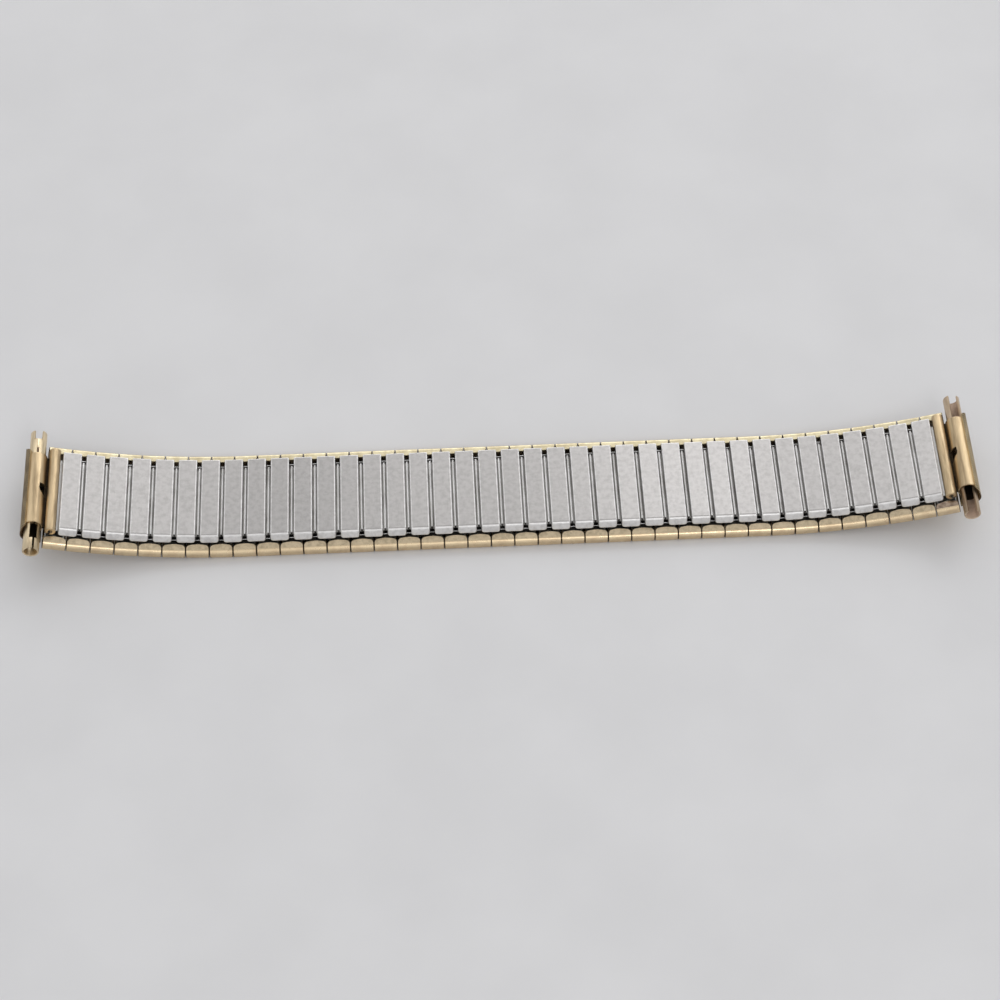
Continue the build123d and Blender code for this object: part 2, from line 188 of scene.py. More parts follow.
def sheet_run(corners, bends):
    """Points and directions along the middle of a folded sheet, with round bends."""
    spots = [Vector(c) for c in corners]
    first = (spots[1] - spots[0]).normalized()
    run = [(spots[0], first)]
    for k in range(1, len(spots) - 1):
        here = spots[k]
        before = (here - spots[k - 1]).normalized()
        after = (spots[k + 1] - here).normalized()
        turn = math.atan2(before.cross(after), before.dot(after))
        bend = bends[k - 1]
        reach = bend * math.tan(abs(turn) / 2)
        hand = 1 if turn > 0 else -1
        begin = here - before * reach
        middle = begin + Vector((-before.y, before.x)) * bend * hand
        run.append((begin - before * BEND_LEAD, before))
        wanted = math.ceil(abs(math.degrees(turn)) / BEND_STEP_DEG)
        steps = max(BEND_LEAST_STEPS, wanted)
        for i in range(steps + 1):
            t = turn * i / steps
            ahead = Vector(
                (
                    before.x * math.cos(t) - before.y * math.sin(t),
                    before.x * math.sin(t) + before.y * math.cos(t),
                )
            )
            run.append((middle - Vector((-ahead.y, ahead.x)) * bend * hand, ahead))
        run.append((here + after * (reach + BEND_LEAD), after))
    run.append((spots[-1], (spots[-1] - spots[-2]).normalized()))
    return run


def with_ends(run, marks):
    """The run with more points near both ends, where the sheet is cut to a shape."""
    start, ahead = run[0]
    stop, along = run[-1]
    first = [(start + ahead * m, ahead) for m in marks]
    last = [(stop - along * m, along) for m in reversed(marks)]
    return [run[0]] + first + run[1:-1] + last + [run[-1]]


def outward(mesh, sharp=SHARP_DEG):
    """Turns all faces outwards and sets smooth bends with crisp edges."""
    work = bmesh.new()
    work.from_mesh(mesh)
    bmesh.ops.recalc_face_normals(work, faces=work.faces)
    work.to_mesh(mesh)
    work.free()
    mesh.polygons.foreach_set("use_smooth", [True] * len(mesh.polygons))
    mesh.set_sharp_from_angle(angle=math.radians(sharp))
    return mesh


def mesh_from(name, rings):
    """A skin over rings of points in millimetres, with its ends closed."""
    size = len(rings[0])
    count = len(rings)
    points = [Vector(p) * MM for ring in rings for p in ring]
    faces = []
    for i in range(count - 1):
        a, b = i * size, (i + 1) * size
        for j in range(size):
            k = (j + 1) % size
            faces.append((a + j, a + k, b + k, b + j))
    faces.append(tuple(range(size - 1, -1, -1)))
    faces.append(tuple(range((count - 1) * size, count * size)))
    mesh = bpy.data.meshes.new(name)
    mesh.from_pydata(points, [], faces)
    return outward(mesh)


def pressed_strip(name, run, half_at, sheet, edge, outer=1, top_round=0.0):
    """A strip of sheet that follows the run in the Y, Z plane, as wide as half_at says."""
    far = [0.0]
    for (p, _), (q, _) in zip(run, run[1:]):
        far.append(far[-1] + (q - p).length)
    rings = []
    for (p, ahead), along in zip(run, far):
        tip = min(along, far[-1] - along)
        half = half_at(tip)
        thick = sheet / 2 - max(0.0, edge - tip) * TIP_THINNING_SHARE
        soft = min(edge, thick * EDGE_MOST_SHARE)
        normal = Vector((-ahead.y, ahead.x)) * outer
        section = [(-half, soft - thick), (soft - half, -thick)]
        section += [(half - soft, -thick), (half, soft - thick)]
        if top_round:
            curve = min(top_round, half * ROUND_MOST_SHARE)
            low = max(soft - thick, thick - curve)
            side = []
            for i in range(ROUND_STEPS + 1):
                t = math.pi / 2 * i / ROUND_STEPS
                lift = (thick - low) * math.sin(t)
                side.append((half - curve + curve * math.cos(t), low + lift))
            side.append((half - curve - BEND_LEAD, thick))
            section[-1] = (half, min(low - ROUND_STEP_GAP, soft - thick))
            section[0] = (-half, min(low - ROUND_STEP_GAP, soft - thick))
            section += side + [(-x, v) for x, v in reversed(side)]
        else:
            section += [(half, thick - soft), (half - soft, thick)]
            section += [(soft - half, thick), (-half, thick - soft)]
        rings.append([(x, p.x + normal.x * v, p.y + normal.y * v) for x, v in section])
    return mesh_from(name, rings)


def round_corner(tip, half, corner):
    """Half the width of a strip with round corners, this far from its tip."""
    deep = min(tip, corner)
    return half - corner + math.sqrt(corner**2 - (corner - deep) ** 2)


def flap_half(tip):
    """Half the flap's width at this distance from its crown: a low arch, then shoulders."""
    flat = CAP_HALF - FLAP_SHOULDER
    if tip < FLAP_CROWN:
        return max(FLAP_CROWN_HALF, flat * math.sqrt(tip / FLAP_CROWN))
    return round_corner(tip - FLAP_CROWN, CAP_HALF, FLAP_SHOULDER)


cap_mid = CAP_SHEET / 2
cap_run = sheet_run(
    [
        (CAP_FAR_FLAP, CAP_TOP - cap_mid),
        (CAP_END - cap_mid, CAP_TOP - cap_mid),
        (CAP_END - cap_mid, cap_mid),
        (cap_mid - CAP_END, cap_mid),
        (cap_mid - CAP_END, CAP_NEAR_BEND - cap_mid),
        (-CAP_NEAR_FLAP, CAP_TOP - cap_mid),
    ],
    CAP_BENDS,
)
cap_run = with_ends(cap_run, FLAP_MARKS)
cap_pattern = pressed_strip("gold_cap", cap_run, flap_half, CAP_SHEET, CAP_EDGE, outer=-1)

CLOUD_FROM, CLOUD_TO = 0.34, 0.58
CLOUD_DETAIL, CLOUD_ROUGHNESS = 5, 0.6
SCRATCH_FROM, SCRATCH_TO = 0.3, 0.7
SCRATCH_DETAIL, SCRATCH_ROUGHNESS = 6, 0.65
SCRATCH_HEIGHT = 0.00002


def satin_metal(name, colour, worn, rough, grain, depth, patch=260, streak=1.0):
    """Plated or bare metal, rubbed satin, with its own dulling, specks and fine scratches."""
    finish = bpy.data.materials.new(name)
    finish.use_nodes = True
    nodes, links = finish.node_tree.nodes, finish.node_tree.links
    shader = nodes["Principled BSDF"]
    shader.inputs["Metallic"].default_value = 1.0
    place = nodes.new("ShaderNodeTexCoord")
    spread = nodes.new("ShaderNodeMapping")
    spread.inputs["Scale"].default_value = (patch, patch * streak, patch)
    links.new(place.outputs["Object"], spread.inputs["Vector"])
    cloud = nodes.new("ShaderNodeTexNoise")
    cloud.inputs["Scale"].default_value = 1
    cloud.inputs["Detail"].default_value = CLOUD_DETAIL
    cloud.inputs["Roughness"].default_value = CLOUD_ROUGHNESS
    links.new(spread.outputs["Vector"], cloud.inputs["Vector"])
    tone = nodes.new("ShaderNodeValToRGB")
    tone.color_ramp.elements[0].position = CLOUD_FROM
    tone.color_ramp.elements[0].color = (*worn, 1)
    tone.color_ramp.elements[1].position = CLOUD_TO
    tone.color_ramp.elements[1].color = (*colour, 1)
    links.new(cloud.outputs["Fac"], tone.inputs["Fac"])
    links.new(tone.outputs["Color"], shader.inputs["Base Color"])
    stretch = nodes.new("ShaderNodeMapping")
    stretch.inputs["Scale"].default_value = grain
    links.new(place.outputs["Object"], stretch.inputs["Vector"])
    scratch = nodes.new("ShaderNodeTexNoise")
    scratch.inputs["Scale"].default_value = 1
    scratch.inputs["Detail"].default_value = SCRATCH_DETAIL
    scratch.inputs["Roughness"].default_value = SCRATCH_ROUGHNESS
    links.new(stretch.outputs["Vector"], scratch.inputs["Vector"])
    rub = nodes.new("ShaderNodeMapRange")
    rub.inputs["From Min"].default_value = SCRATCH_FROM
    rub.inputs["From Max"].default_value = SCRATCH_TO
    rub.inputs["To Min"].default_value = rough[0]
    rub.inputs["To Max"].default_value = rough[1]
    links.new(scratch.outputs["Fac"], rub.inputs["Value"])
    links.new(rub.outputs["Result"], shader.inputs["Roughness"])
    bump = nodes.new("ShaderNodeBump")
    bump.inputs["Strength"].default_value = depth
    bump.inputs["Distance"].default_value = SCRATCH_HEIGHT
    links.new(scratch.outputs["Fac"], bump.inputs["Height"])
    links.new(bump.outputs["Normal"], shader.inputs["Normal"])
    return finish


def finish_where(mesh, finish, fits):
    """Gives the faces whose middle and direction fit another finish than the rest."""
    mesh.materials.append(finish)
    for face in mesh.polygons:
        if fits(face.center / MM, face.normal):
            face.material_index = len(mesh.materials) - 1


EVEN_GRAIN = (2500, 2500, 2500)
CAP_GRAIN = (2500, 1400, 2500)
FLAP_LOW = 1.0
NEAR_FLAP_FACING = 0.93
FAR_FLAP_FACING = 0.30
CAP_SIDE = 1.5
CAP_SIDE_FACING = 0.45
cap_gold = satin_metal(
    "champagne_gold_plate",
    colour=(0.76, 0.61, 0.40),
    worn=(0.655, 0.505, 0.325),
    rough=(0.24, 0.40),
    grain=CAP_GRAIN,
    depth=0.3,
    patch=620,
)
shaded_near_flap_gold = satin_metal(
    "painted_shade_flap_gold",
    colour=(0.71, 0.585, 0.405),
    worn=(0.52, 0.425, 0.285),
    rough=(0.32, 0.50),
    grain=(3500, 2500, 3500),
    depth=0.5,
    patch=1500,
)
lit_far_flap_gold = satin_metal(
    "painted_highlight_flap_gold",
    colour=(0.75, 0.67, 0.455),
    worn=(0.56, 0.48, 0.31),
    rough=(0.26, 0.42),
    grain=CAP_GRAIN,
    depth=0.3,
    patch=620,
)
dark_edge_gold = satin_metal(
    "dark_gold_edge",
    colour=(0.11, 0.07, 0.036),
    worn=(0.055, 0.035, 0.018),
    rough=(0.40, 0.60),
    grain=EVEN_GRAIN,
    depth=0.3,
    patch=900,
)
glossy_flap = satin_metal(
    "dark_glossy_flap",
    colour=(0.50, 0.39, 0.30),
    worn=(0.26, 0.19, 0.14),
    rough=(0.16, 0.30),
    grain=EVEN_GRAIN,
    depth=0.5,
    patch=1300,
)


def near_flap(c, n):
    """The flat of the flap on the near side, whose gold is darker as painted shade."""
    return n.z > NEAR_FLAP_FACING and c.z > FLAP_LOW and c.y < 0


def far_flap(c, n):
    """The flap on the far side, with its bend, whose gold is paler as a painted highlight."""
    return n.z > FAR_FLAP_FACING and c.z > FLAP_LOW and c.y > 0


def cap_side(c, n):
    """The cut sides of the cap, which face the next cap, coloured nearly black as painted shade in
    the joint.
    """
    return abs(n.x) > CAP_SIDE_FACING and abs(c.x) > CAP_SIDE


cap_pattern.materials.append(cap_gold)
finish_where(cap_pattern, shaded_near_flap_gold, near_flap)
finish_where(cap_pattern, lit_far_flap_gold, far_flap)
finish_where(cap_pattern, dark_edge_gold, cap_side)
for side in ("right", "left"):
    for n, ending in gold_places(side):
        cap = seated(cap_pattern, "gold_cap_" + ending, gold_seats[n], side)
        # The near flap of the last cap on the right is worn dark and glossy.
        if side == "right" and n == SIDE_LINKS:
            cap.data.materials[1] = glossy_flap
        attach(cap, pair_body(side, n))
        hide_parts(pair_node(side, n))

# Steel sleeves in the caps, the links of the lower row. Each is one sheet folded into a
# flat box round the bows, its edges stood up together as a thin rib, with a bridge at
# both ends that keeps the bows apart. Its floor runs on and is held under the cap's flaps.
SLEEVE_BOX = 6.60
SLEEVE_SHEET = 0.15
SLEEVE_SIDE = 1.41
SLEEVE_LOW = 0.34
SLEEVE_HIGH = 1.66
SLEEVE_BEND = 0.16
SEAM_HALF = 0.04
SEAM_MOUTH_HALF = 0.37
SEAM_STOPS = (6.27, 6.30)
RIB_PLACE = 0.06
RIB_TOP = 2.24
RIB_SHEET = 0.095
RIB_END = 6.25
BRIDGE_PLACE = 0.42
BRIDGE_HALF = 0.045
BRIDGE_SHEET = 0.13
BRIDGE_BAR = 6.88
BRIDGE_END = 6.96
FLOOR_END = 8.88
FLOOR_MIDDLE = 0.335
FLOOR_HALF = 1.46
FLOOR_CORNER = 0.5
FLOOR_EDGE = 0.03
FLOOR_MARKS = (0.03, 0.08, 0.16, 0.3, 0.5)


def level_run(start, stop, height):
    """A straight, level stretch of sheet between two places."""
    return [(Vector((place, height)), Vector((1, 0))) for place in (start, stop)]


def folded_outline(run, sheet):
    """The closed outline of a folded sheet, seen on its edge."""
    there = [p + Vector((-d.y, d.x)) * sheet / 2 for p, d in run]
    return there + [p - Vector((-d.y, d.x)) * sheet / 2 for p, d in reversed(run)]


def drawn_along(name, outline, stops):
    """The outline in the X, Z plane, drawn through these stops along Y."""
    return mesh_from(name, [[(p.x, y, p.y) for p in outline] for y in stops])


def joined(name, meshes):
    """Several meshes as one piece."""
    work = bmesh.new()
    for mesh in meshes:
        work.from_mesh(mesh)
    whole = bpy.data.meshes.new(name)
    work.to_mesh(whole)
    work.free()
    whole.set_sharp_from_angle(angle=math.radians(SHARP_DEG))
    return whole


def bridge_strip(name, x0, x1, y0, y1):
    """A flat strip of the bridge, level with the sleeve's top."""
    outline = folded_outline(level_run(x0, x1, SLEEVE_HIGH), BRIDGE_SHEET)
    return drawn_along(name, outline, sorted((y0, y1)))


def sleeve_box(name, ribbed):
    """The folded box, whose seam opens wider at both ends where it has a rib."""
    inner_stop, outer_stop = SEAM_STOPS
    far_half = (inner_stop, outer_stop, SLEEVE_BOX)
    rings = []
    for y in [-v for v in reversed(far_half)] + list(far_half):
        edge = SEAM_MOUTH_HALF if ribbed and abs(y) > inner_stop else SEAM_HALF
        right_half = [(SLEEVE_SIDE, SLEEVE_LOW), (SLEEVE_SIDE, SLEEVE_HIGH), (edge, SLEEVE_HIGH)]
        corners = [(-x, z) for x, z in reversed(right_half)] + right_half
        outline = folded_outline(sheet_run(corners, [SLEEVE_BEND] * 4), SLEEVE_SHEET)
        rings.append([(p.x, y, p.y) for p in outline])
    return mesh_from(name, rings)


def sleeve_mesh(name, ribbed):
    """A sleeve with its floor, and with its rib and bridges where it is ribbed."""
    parts = [sleeve_box(name, ribbed)]
    for hand in (1, -1) if ribbed else ():
        rib_run = [
            (Vector((hand * RIB_PLACE, z)), Vector((0, 1))) for z in (SLEEVE_HIGH, RIB_TOP)
        ]
        parts.append(drawn_along(name, folded_outline(rib_run, RIB_SHEET), [-RIB_END, RIB_END]))
        for x in (-BRIDGE_PLACE, BRIDGE_PLACE):
            stops = (hand * SLEEVE_BOX, hand * BRIDGE_END)
            parts.append(bridge_strip(name, x - BRIDGE_HALF, x + BRIDGE_HALF, *stops))
        stops = (hand * BRIDGE_BAR, hand * BRIDGE_END)
        parts.append(bridge_strip(name, -SEAM_MOUTH_HALF, SEAM_MOUTH_HALF, *stops))
    floor_run = with_ends(level_run(-FLOOR_END, FLOOR_END, FLOOR_MIDDLE), FLOOR_MARKS)
    parts.append(
        pressed_strip(
            name + "_floor",
            floor_run,
            lambda tip: round_corner(tip, FLOOR_HALF, FLOOR_CORNER),
            SLEEVE_SHEET,
            FLOOR_EDGE,
        )
    )
    return joined(name, parts)


sleeve_pattern = sleeve_mesh("steel_sleeve", True)
last_sleeve_pattern = sleeve_mesh("steel_sleeve_last", False)
SLEEVE_GRAIN = (2500, 300, 2500)
BRIGHT_RIB_FROM = 2.15
BRIGHT_BRIDGE_FROM, BRIGHT_BRIDGE_TO = 6.85, 7.0
BRIGHT_LOW = 1.55
# The sleeve's steel is coloured darker as painted shade, for the inside seen through the gaps. The
# rib's top, the bridges' outer bars and the whole last sleeve get a much paler copy as a painted
# highlight.
shaded_sleeve_metal = satin_metal(
    "shaded_sleeve_metal",
    colour=(0.40, 0.39, 0.375),
    worn=(0.24, 0.23, 0.215),
    rough=(0.32, 0.50),
    grain=SLEEVE_GRAIN,
    depth=0.2,
)
lit_pale_sleeve_metal = satin_metal(
    "lit_pale_sleeve_metal",
    colour=(0.86, 0.85, 0.84),
    worn=(0.66, 0.65, 0.63),
    rough=(0.28, 0.44),
    grain=SLEEVE_GRAIN,
    depth=0.2,
)


def lit_rib_and_bridge(c, n):
    """The top of the rib and the outer bar of the bridges, paler as a painted highlight."""
    bridge = BRIGHT_BRIDGE_TO > abs(c.y) > BRIGHT_BRIDGE_FROM
    return (c.z > BRIGHT_RIB_FROM or bridge) and c.z > BRIGHT_LOW


sleeve_pattern.materials.append(shaded_sleeve_metal)
finish_where(sleeve_pattern, lit_pale_sleeve_metal, lit_rib_and_bridge)
last_sleeve_pattern.materials.append(lit_pale_sleeve_metal)
for side in ("right", "left"):
    for n, ending in gold_places(side):
        pattern = last_sleeve_pattern if n == SIDE_LINKS else sleeve_pattern
        sleeve = seated(pattern, "steel_sleeve_" + ending, gold_seats[n], side)
        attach(sleeve, pair_body(side, n))
        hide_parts(pair_node(side, n))

# Silver links on top, the side that lies on the wrist. Each is one sheet of stainless
# steel: a flat face with rolled long edges, walls folded down and under, and a short lip
# with rounded corners bent down at both ends. The near lip leans out a little more.
LINK_HALF = 1.42
LINK_SHEET = 0.18
LINK_EDGE = 0.03
LINK_ROLLED_EDGE = 0.16
FACE_HEIGHT = 3.01
FACE_FAR_END = 7.26
FACE_NEAR_END = 7.02
LIP_END = 7.51
LIP_LOW = 1.96
LIP_BENDS = (0.14, 0.36)
LIP_CORNER = 0.34
LIP_MARKS = (0.02, 0.06, 0.12, 0.22, 0.34, 0.45)
WALL_FOOT = 0.18
WALL_SIDE = 1.265
WALL_LOW = 1.99
WALL_TOP = 2.95
WALL_BEND = 0.33
WALL_SHEET = 0.17
WALL_END = 6.60
face_run = sheet_run(
    [
        (LIP_END, LIP_LOW),
        (FACE_FAR_END, FACE_HEIGHT),
        (-FACE_NEAR_END, FACE_HEIGHT),
        (-LIP_END, LIP_LOW),
    ],
    LIP_BENDS,
)
face_mesh = pressed_strip(
    "silver_face",
    with_ends(face_run, LIP_MARKS),
    lambda tip: round_corner(tip, LINK_HALF, LIP_CORNER),
    LINK_SHEET,
    LINK_EDGE,
    outer=-1,
    top_round=LINK_ROLLED_EDGE,
)
walls = []
for hand in (1, -1):
    foot, side_at = hand * WALL_FOOT, hand * WALL_SIDE
    wall_run = sheet_run(
        [(foot, WALL_LOW), (side_at, WALL_LOW), (side_at, WALL_TOP)], [WALL_BEND]
    )
    outline = folded_outline(wall_run, WALL_SHEET)
    walls.append(drawn_along("silver_wall", outline, [-WALL_END, WALL_END]))
silver_pattern = joined("silver_link", [face_mesh] + walls)

TONE_RUN = 24
TONE_PLACE = 8
TONE_SHARE = 0.07
LEFT_DARKENING_SHARE = 0.009
LEFT_DARKEST_PLACE = -10
STEEL_GRAIN = (3000, 1400, 3000)


def link_finish(side, n):
    """A link's steel, darker and paler by turns along the band, and darkest on the left."""
    place = n if side == "right" else -n
    turn = 2 * math.pi * (place - TONE_PLACE) / TONE_RUN
    share = 1 + TONE_SHARE * (math.cos(turn) + math.cos(2 * turn))
    share *= 1 + LEFT_DARKENING_SHARE * max(place, LEFT_DARKEST_PLACE)
    return satin_metal(
        "satin_stainless_%s_%02d" % (side, n),
        colour=[v * share for v in (0.522, 0.506, 0.495)],
        worn=[v * share for v in (0.443, 0.429, 0.418)],
        rough=(0.28, 0.46),
        grain=(3500, 1400, 3500),
        depth=0.5,
        patch=1300,
    )


shaded_bend_metal = satin_metal(
    "painted_shade_bend",
    colour=(0.40, 0.385, 0.375),
    worn=(0.34, 0.325, 0.315),
    rough=(0.32, 0.50),
    grain=STEEL_GRAIN,
    depth=0.3,
    patch=1300,
)
worn_lit_lip_metal = satin_metal(
    "worn_lit_lip_finish",
    colour=(0.72, 0.71, 0.70),
    worn=(0.60, 0.59, 0.58),
    rough=(0.42, 0.58),
    grain=STEEL_GRAIN,
    depth=0.3,
    patch=1300,
)
highlight_edge_metal = satin_metal(
    "painted_highlight_edge",
    colour=(0.88, 0.865, 0.85),
    worn=(0.74, 0.725, 0.71),
    rough=(0.28, 0.42),
    grain=(3000, 900, 3000),
    depth=0.15,
    patch=900,
)
BEND_FROM = 6.7
LIP_FROM = 6.9
FACE_RIM_HEIGHT = 2.93
FACE_RIM_SIDE = 1.2
SHADED_BEND_HEIGHT = 2.9
SHADED_BEND_TILT = (0.03, 0.3)
LIP_TILT = 0.3
NEAR_HIGHLIGHT_HEIGHT = 2.80
NEAR_HIGHLIGHT_TILT = (0.3, 0.68)
FAR_HIGHLIGHT_TILT = (0.2, 0.85)
LIP_TIP_HEIGHT = 2.07
LIP_TIP_FROM = 7.4


def shaded_bend_start(c, n):
    """The start of the near bend, above the bright line, coloured darker as painted shade."""
    low, high = SHADED_BEND_TILT
    return c.z > SHADED_BEND_HEIGHT and c.y < -BEND_FROM and low < abs(n.y) < high


def lip_or_rim(c, n):
    """Both lips, and the rolled long edges of the face, in paler steel: partly rubbed wear, partly
    painted highlight.
    """
    lip = abs(c.y) > LIP_FROM and abs(n.y) > LIP_TILT
    return lip or c.z > FACE_RIM_HEIGHT and abs(c.x) > FACE_RIM_SIDE


def highlight_bend(c, n):
    """The line where each end bends down, and the very tips of the lips, nearly white as a painted
    highlight.
    """
    low, high = NEAR_HIGHLIGHT_TILT if c.y < 0 else FAR_HIGHLIGHT_TILT
    height = NEAR_HIGHLIGHT_HEIGHT if c.y < 0 else FACE_RIM_HEIGHT
    bend = abs(c.y) > LIP_FROM and c.z > height and low < abs(n.y) < high
    return bend or c.z < LIP_TIP_HEIGHT and abs(c.y) > LIP_TIP_FROM


def half_way(piece):
    """Leaves a silver link where it is seated, its place baked into its mesh."""
    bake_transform(piece)


# The first finish is the face's own steel, which each link gets below.
silver_pattern.materials.append(worn_lit_lip_metal)
finish_where(silver_pattern, shaded_bend_metal, shaded_bend_start)
finish_where(silver_pattern, worn_lit_lip_metal, lip_or_rim)
finish_where(silver_pattern, highlight_edge_metal, highlight_bend)
for side in ("right", "left"):
    for n in range(1, SIDE_LINKS + 1):
        link = seated(silver_pattern, "silver_link_%s_%02d" % (side, n), silver_seats[n], side)
        link.data.materials[0] = link_finish(side, n)
        if n in WRAP_LINKS:
            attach(link, silver_node(side, n))
        else:
            half_way(link)
        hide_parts(silver_node(side, n))

# Leaf springs, one inside every sleeve and one inside every silver link. Each is a thin
# strip of spring steel, bowed a little, that presses on the legs of the bows and pulls
# the band shut.
LEAF_END = 5.9
LEAF_STEPS = 8
LEAF_SHEET = 0.08
LEAF_EDGE = 0.015
LEAF_LIFT = 0.045
LEAF_BOW = 0.03
SLEEVE_LEAF_HALF, SLEEVE_LEAF_HEIGHT = 1.08, 1.42
LINK_LEAF_HALF, LINK_LEAF_HEIGHT = 0.98, 2.77


def leaf_mesh(name, half, height):
    """A leaf spring this wide, highest in its middle."""
    run = []
    for i in range(LEAF_STEPS + 1):
        y = -LEAF_END + 2 * LEAF_END * i / LEAF_STEPS
        share = y / LEAF_END
        lift = height + LEAF_LIFT + LEAF_BOW * (1 - share * share)
        run.append((Vector((y, lift)), Vector((1, 0))))
    return pressed_strip(name, run, lambda tip: half, LEAF_SHEET, LEAF_EDGE)


spring_steel = satin_metal(
    "spring_steel",
    colour=(0.52, 0.51, 0.49),
    worn=(0.36, 0.34, 0.31),
    rough=(0.25, 0.42),
    grain=(2500, 400, 2500),
    depth=0.2,
)
sleeve_leaf_pattern = leaf_mesh("sleeve_leaf", SLEEVE_LEAF_HALF, SLEEVE_LEAF_HEIGHT)
link_leaf_pattern = leaf_mesh("link_leaf", LINK_LEAF_HALF, LINK_LEAF_HEIGHT)
for pattern in (sleeve_leaf_pattern, link_leaf_pattern):
    pattern.materials.append(spring_steel)
for side in ("right", "left"):
    for n, ending in gold_places(side):
        leaf = seated(sleeve_leaf_pattern, "sleeve_leaf_" + ending, gold_seats[n], side)
        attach(leaf, pair_body(side, n))
        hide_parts(pair_node(side, n))
    for n in range(1, SIDE_LINKS + 1):
        leaf = seated(link_leaf_pattern, "link_leaf_%s_%02d" % (side, n), silver_seats[n], side)
        if n in WRAP_LINKS:
            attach(leaf, silver_node(side, n))
        else:
            half_way(leaf)
        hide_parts(silver_node(side, n))

# Connecting bows of flat spring wire, four for each silver link. Each is bent like a
# staple: one leg in a sleeve, one in the silver link above, and the web outside both.
# They tilt when the band stretches. The last two on each side hold the hinge roll.
WIRE_HALF = 0.34
WIRE_SHEET = 0.29
WIRE_EDGE = 0.06
BOW_LEG_FROM = 1.5
BOW_WEB = 6.81
BOW_BEND = 0.2
BOW_LOW = 1.00
BOW_HIGH = 2.50
BOW_LOW_PLACE = 0.90
BOW_HIGH_PLACE = 0.79
BAR_X, BAR_Z = 0.86, 2.68


def bow_pair_mesh(name, centre, lean_deg, rise):
    """Two bows, one at each long edge, whose low legs are this far from the middle."""
    lean = math.radians(lean_deg)
    meshes = []
    for hand in (1, -1):
        leg, web = hand * BOW_LEG_FROM, hand * BOW_WEB
        run = sheet_run([(leg, 0), (web, 0), (web, rise), (leg, rise)], [BOW_BEND] * 2)
        meshes.append(pressed_strip(name, run, lambda tip: WIRE_HALF, WIRE_SHEET, WIRE_EDGE))
    pair = joined(name, meshes)
    put = Matrix.Translation((centre * MM, 0, BOW_LOW * MM)) @ Matrix.Rotation(lean, 4, "Y")
    pair.transform(put)
    pair.materials.append(spring_steel)
    return pair


bow_rise = BOW_HIGH - BOW_LOW
bow_reach = PITCH / 2 - BOW_HIGH_PLACE - BOW_LOW_PLACE
bow_lean = math.degrees(math.atan2(bow_reach, bow_rise))
crossing_pattern = bow_pair_mesh("crossing_bows", BOW_LOW_PLACE, bow_lean, bow_rise)
own_pattern = bow_pair_mesh("own_bows", -BOW_LOW_PLACE, -bow_lean, bow_rise)
hinge_bow_pattern = bow_pair_mesh("hinge_bows", BAR_X, 0, BAR_Z - BOW_LOW)
for side in ("right", "left"):
    for n in range(1, SIDE_LINKS + 1):
        inner, outer = gold_seats[n - 1], gold_seats[n]
        bows = seated(crossing_pattern, "crossing_bows_%s_%02d" % (side, n), inner, side)
        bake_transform(bows)
        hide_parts("connecting_bows")
        bows = seated(own_pattern, "own_bows_%s_%02d" % (side, n), outer, side)
        if n in WRAP_LINKS:
            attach(bows, pair_body(side, n))
        else:
            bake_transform(bows)
        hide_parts(pair_node(side, n))
    bows = seated(hinge_bow_pattern, "hinge_bows_%s" % side, gold_seats[-1], side)
    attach(bows, pair_body(side, SIDE_LINKS))
    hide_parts(pair_node(side, SIDE_LINKS))

# End shells, one at each end: a gold-plated sheet rolled small at one edge, round the
# hinge bows, and large at the other, round the end tubes, with a notch in its middle.
# The rolls are rubbed along their length, and the small one is crimped at its mouths.
SHELL_X, SHELL_Z = 3.46, 1.80
SHELL_HALF = 6.5
SHELL_INNER = 6.3
SHELL_EASE = 0.03
BAR_ARC = (315, 628)
BAR_STEPS = 44
BAR_CRIMP = ((7.6, 0.54, 0.40), (7.52, 0.64, 0.37), (7.4, 0.73, 0.21))
BAR_SLOT = (6.6, 7.04)
BAR_SLOT_ACROSS = (-0.2, 1.9)
BAR_SLOT_LOW = 1.5
STRAP_FROM, STRAP_TO = 0.95, 2.10
STRAP_HEIGHT = 1.945
STRAP_SHEET = 0.2
ROLL_MID = 1.43
ROLL_SHEET = 0.22
ROLL_ARC = (32, 322)
ROLL_STEPS = 52
NOTCH_OUTLINE = ((1.7, 0.95), (2.9, 0.95), (2.98, 0.1), (2.86, -0.38), (1.7, -1.6))
NOTCH_HEIGHTS = (2.1, 4.2)
GROOVE_FROM, GROOVE_TO = 1.5, 2.2
GROOVE_TOP = 2.1
EASE_SHARP_DEG = 50


def arc_run(x, z, radius, start, stop, steps):
    """Points and directions round an arc of sheet, between two angles in degrees."""
    run = []
    for i in range(steps + 1):
        a = math.radians(start + (stop - start) * i / steps)
        spot = Vector((x + radius * math.cos(a), z + radius * math.sin(a)))
        run.append((spot, Vector((-math.sin(a), math.cos(a)))))
    return run


def cut(mesh, cutters, soften):
    """The mesh with the cutters taken away, its cut edges eased a little."""
    body = bpy.data.objects.new("uncut", mesh)
    bpy.context.scene.collection.objects.link(body)
    tools = []
    for cutter in cutters:
        tool = bpy.data.objects.new("cutter", cutter)
        bpy.context.scene.collection.objects.link(tool)
        step = body.modifiers.new("cut", "BOOLEAN")
        step.operation = "DIFFERENCE"
        step.solver = "EXACT"
        step.object = tool
        tools.append(tool)
    ease = body.modifiers.new("ease", "BEVEL")
    ease.width = soften * MM
    ease.segments = 2
    ease.limit_method = "ANGLE"
    ease.angle_limit = math.radians(EASE_SHARP_DEG)
    bpy.context.view_layer.update()
    graph = bpy.context.evaluated_depsgraph_get()
    result = bpy.data.meshes.new_from_object(body.evaluated_get(graph))
    for made in [body] + tools:
        bpy.data.objects.remove(made)
    return outward(result)


